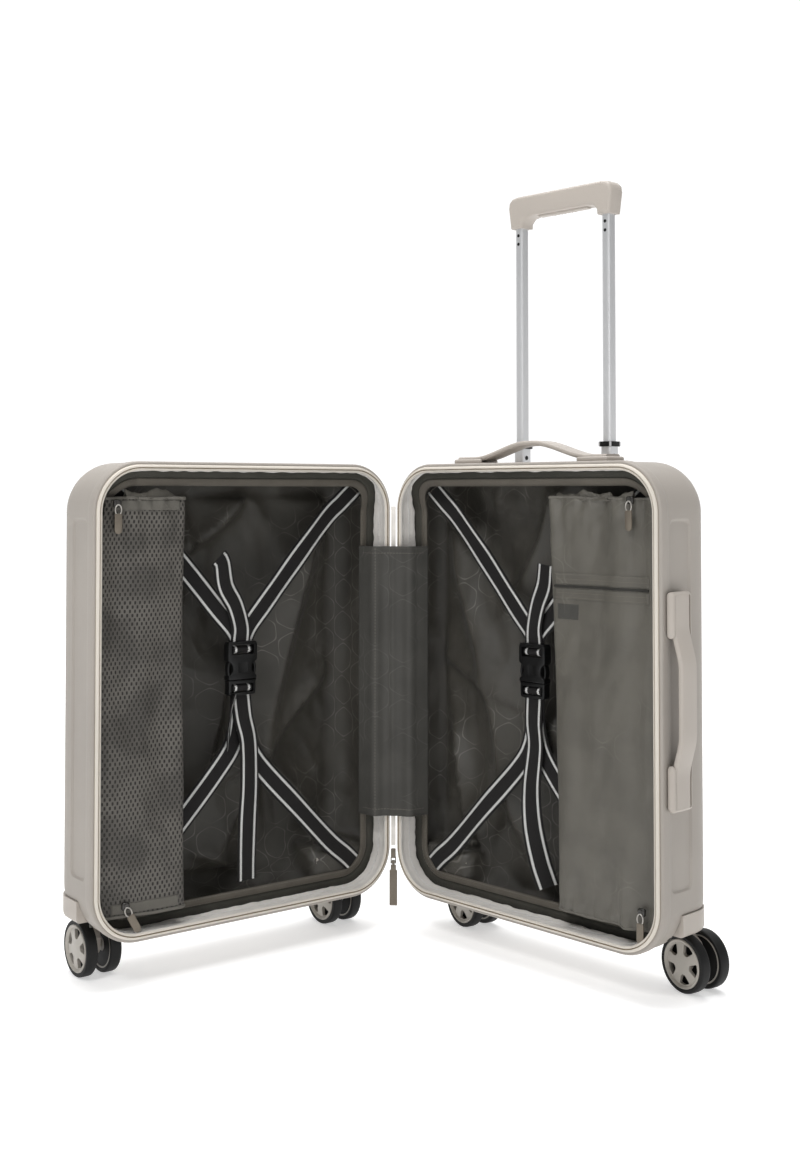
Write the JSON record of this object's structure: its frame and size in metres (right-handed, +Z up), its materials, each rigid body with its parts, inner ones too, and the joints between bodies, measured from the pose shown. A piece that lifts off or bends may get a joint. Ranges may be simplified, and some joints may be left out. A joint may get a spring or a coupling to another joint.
{
  "type": "hard shell suitcase",
  "caption": "Hard shell cabin suitcase standing open on swivel casters, with a telescopic trolley, carry handles, lined halves, cross straps and folded dividers.",
  "frame": {"origin": "on the floor, under the middle of the whole object as it stands open", "axes": "+X along the width of the back half, from its hinge side to its outer side; +Y from the back half's rim to its back panel; +Z up"},
  "size_m": [0.5464, 0.4936, 0.863],
  "materials": {
    "shell_cream": "fine matte grain",
    "trim_cream": "smooth satin",
    "zip_cream": "woven zip tape",
    "lining_fabric": "satin lining cloth with a faint print",
    "mesh_fabric": "honeycomb mesh",
    "webbing": "black webbing with two pale lines",
    "black_plastic": "moulded black plastic",
    "tyre_rubber": "smooth black tread",
    "hub_plastic": "pale grey satin",
    "tube_aluminium": "satin anodised",
    "zip_metal": "taupe lacquer"
  },
  "bodies": {
    "back_half": {"back_shell": "shell_cream", "back_zip_tape": "zip_cream", "back_lining": "lining_fabric", "back_strap_upper": "webbing", "back_strap_lower": "webbing", "back_buckle_socket": "black_plastic", "back_buckle_plug": "black_plastic", "caster_housing_back_outer": "trim_cream", "caster_housing_back_hinge": "trim_cream", "trolley_tray": "trim_cream", "trolley_outer_tube_left": "tube_aluminium", "trolley_outer_tube_right": "tube_aluminium", "trolley_base_bracket": "black_plastic", "side_handle_socket_upper": "trim_cream", "side_handle_socket_lower": "trim_cream", "top_handle_socket_left": "trim_cream", "top_handle_socket_right": "trim_cream", "hinge_tape": "zip_cream", "hinge_flap": "lining_fabric", "zip_slider": "zip_metal"},
    "front_half": {"front_shell": "shell_cream", "front_zip_tape": "zip_cream", "front_lining": "lining_fabric", "front_strap_upper": "webbing", "front_strap_lower": "webbing", "front_buckle_socket": "black_plastic", "front_buckle_plug": "black_plastic", "caster_housing_front_outer": "trim_cream", "caster_housing_front_hinge": "trim_cream"},
    "trolley_middle_stage": {"trolley_middle_tube_left": "tube_aluminium", "trolley_middle_tube_right": "tube_aluminium"},
    "trolley_upper_stage": {"trolley_upper_tube_left": "tube_aluminium", "trolley_upper_tube_right": "tube_aluminium", "trolley_grip": "trim_cream"},
    "release_button": {"trolley_release_button": "trim_cream"},
    "top_carry_handle": {"top_handle": "trim_cream"},
    "side_carry_handle": {"side_handle": "trim_cream"},
    "zip_pull": {"zip_puller": "zip_metal"},
    "back_divider_panel": {"back_divider": "lining_fabric"},
    "front_divider_panel": {"front_divider": "mesh_fabric"},
    "caster_back_outer": {"caster_fork_back_outer": "trim_cream"},
    "wheel_back_outer_a": {"tyre_back_outer_a": "tyre_rubber", "hub_back_outer_a": "hub_plastic"},
    "wheel_back_outer_b": {"tyre_back_outer_b": "tyre_rubber", "hub_back_outer_b": "hub_plastic"},
    "caster_back_hinge": {"caster_fork_back_hinge": "trim_cream"},
    "wheel_back_hinge_a": {"tyre_back_hinge_a": "tyre_rubber", "hub_back_hinge_a": "hub_plastic"},
    "wheel_back_hinge_b": {"tyre_back_hinge_b": "tyre_rubber", "hub_back_hinge_b": "hub_plastic"},
    "caster_front_outer": {"caster_fork_front_outer": "trim_cream"},
    "wheel_front_outer_a": {"tyre_front_outer_a": "tyre_rubber", "hub_front_outer_a": "hub_plastic"},
    "wheel_front_outer_b": {"tyre_front_outer_b": "tyre_rubber", "hub_front_outer_b": "hub_plastic"},
    "caster_front_hinge": {"caster_fork_front_hinge": "trim_cream"},
    "wheel_front_hinge_a": {"tyre_front_hinge_a": "tyre_rubber", "hub_front_hinge_a": "hub_plastic"},
    "wheel_front_hinge_b": {"tyre_front_hinge_b": "tyre_rubber", "hub_front_hinge_b": "hub_plastic"}
  },
  "joints": [
    {"name": "case_hinge", "type": "hinge", "parent": "back_half", "child": "front_half", "pos_m": [-0.13075, 0.13637, 0.298], "axis": [0, 0, 1], "range_deg": [-83.6, 96.4], "deforming": ["hinge_flap"]},
    {"name": "trolley_middle_slide", "type": "slide", "parent": "back_half", "child": "trolley_middle_stage", "axis": [0, 0, 1], "range_m": [-0.0605, 0.13]},
    {"name": "trolley_upper_slide", "type": "slide", "parent": "trolley_middle_stage", "child": "trolley_upper_stage", "axis": [0, 0, 1], "range_m": [-0.2525, 0]},
    {"name": "release_button_press", "type": "slide", "parent": "trolley_upper_stage", "child": "release_button", "axis": [0, 0, 1], "range_m": [0, 0.0035], "stiffness_N_per_m": 300},
    {"name": "top_handle_lift", "type": "slide", "parent": "back_half", "child": "top_carry_handle", "axis": [0, 0, 1], "range_m": [0, 0.005], "stiffness_N_per_m": 300},
    {"name": "side_handle_pull", "type": "slide", "parent": "back_half", "child": "side_carry_handle", "axis": [1, 0, 0], "range_m": [0, 0.006], "stiffness_N_per_m": 300},
    {"name": "zip_pull_swing", "type": "hinge", "parent": "back_half", "child": "zip_pull", "pos_m": [-0.13075, 0.13637, 0.079], "axis": [0.7455, 0.6665, 0], "range_deg": [-45, 45]},
    {"name": "back_divider_fold", "type": "hinge", "parent": "back_half", "child": "back_divider_panel", "pos_m": [0.24125, 0.14437, 0.298], "axis": [0, 0, -1], "range_deg": [-95, 0]},
    {"name": "front_divider_fold", "type": "hinge", "parent": "front_half", "child": "front_divider_panel", "pos_m": [-0.18017, -0.23242, 0.298], "axis": [0, 0, 1], "range_deg": [-95, 0]},
    {"name": "caster_back_outer_swivel", "type": "hinge", "parent": "back_half", "child": "caster_back_outer", "pos_m": [0.22025, 0.22437, 0.07], "axis": [0, 0, 1], "continuous": true},
    {"name": "wheel_back_outer_a_spin", "type": "hinge", "parent": "caster_back_outer", "child": "wheel_back_outer_a", "pos_m": [0.236, 0.22159, 0.03], "axis": [0.1736, 0.9848, 0], "continuous": true},
    {"name": "wheel_back_outer_b_spin", "type": "hinge", "parent": "caster_back_outer", "child": "wheel_back_outer_b", "pos_m": [0.236, 0.22159, 0.03], "axis": [0.1736, 0.9848, 0], "continuous": true},
    {"name": "caster_back_hinge_swivel", "type": "hinge", "parent": "back_half", "child": "caster_back_hinge", "pos_m": [-0.09475, 0.22437, 0.07], "axis": [0, 0, 1], "continuous": true},
    {"name": "wheel_back_hinge_a_spin", "type": "hinge", "parent": "caster_back_hinge", "child": "wheel_back_hinge_a", "pos_m": [-0.07899, 0.22159, 0.03], "axis": [0.1736, 0.9848, 0], "continuous": true},
    {"name": "wheel_back_hinge_b_spin", "type": "hinge", "parent": "caster_back_hinge", "child": "wheel_back_hinge_b", "pos_m": [-0.07899, 0.22159, 0.03], "axis": [0.1736, 0.9848, 0], "continuous": true},
    {"name": "caster_front_outer_swivel", "type": "hinge", "parent": "front_half", "child": "caster_front_outer", "pos_m": [-0.25733, -0.20264, 0.07], "axis": [0, 0, 1], "continuous": true},
    {"name": "wheel_front_outer_a_spin", "type": "hinge", "parent": "caster_front_outer", "child": "wheel_front_outer_a", "pos_m": [-0.24143, -0.20442, 0.03], "axis": [-0.1115, -0.9938, 0], "continuous": true},
    {"name": "wheel_front_outer_b_spin", "type": "hinge", "parent": "caster_front_outer", "child": "wheel_front_outer_b", "pos_m": [-0.24143, -0.20442, 0.03], "axis": [-0.1115, -0.9938, 0], "continuous": true},
    {"name": "caster_front_hinge_swivel", "type": "hinge", "parent": "front_half", "child": "caster_front_hinge", "pos_m": [-0.22222, 0.1104, 0.07], "axis": [0, 0, 1], "continuous": true},
    {"name": "wheel_front_hinge_a_spin", "type": "hinge", "parent": "caster_front_hinge", "child": "wheel_front_hinge_a", "pos_m": [-0.20632, 0.10862, 0.03], "axis": [-0.1115, -0.9938, 0], "continuous": true},
    {"name": "wheel_front_hinge_b_spin", "type": "hinge", "parent": "caster_front_hinge", "child": "wheel_front_hinge_b", "pos_m": [-0.20632, 0.10862, 0.03], "axis": [-0.1115, -0.9938, 0], "continuous": true}
  ]
}
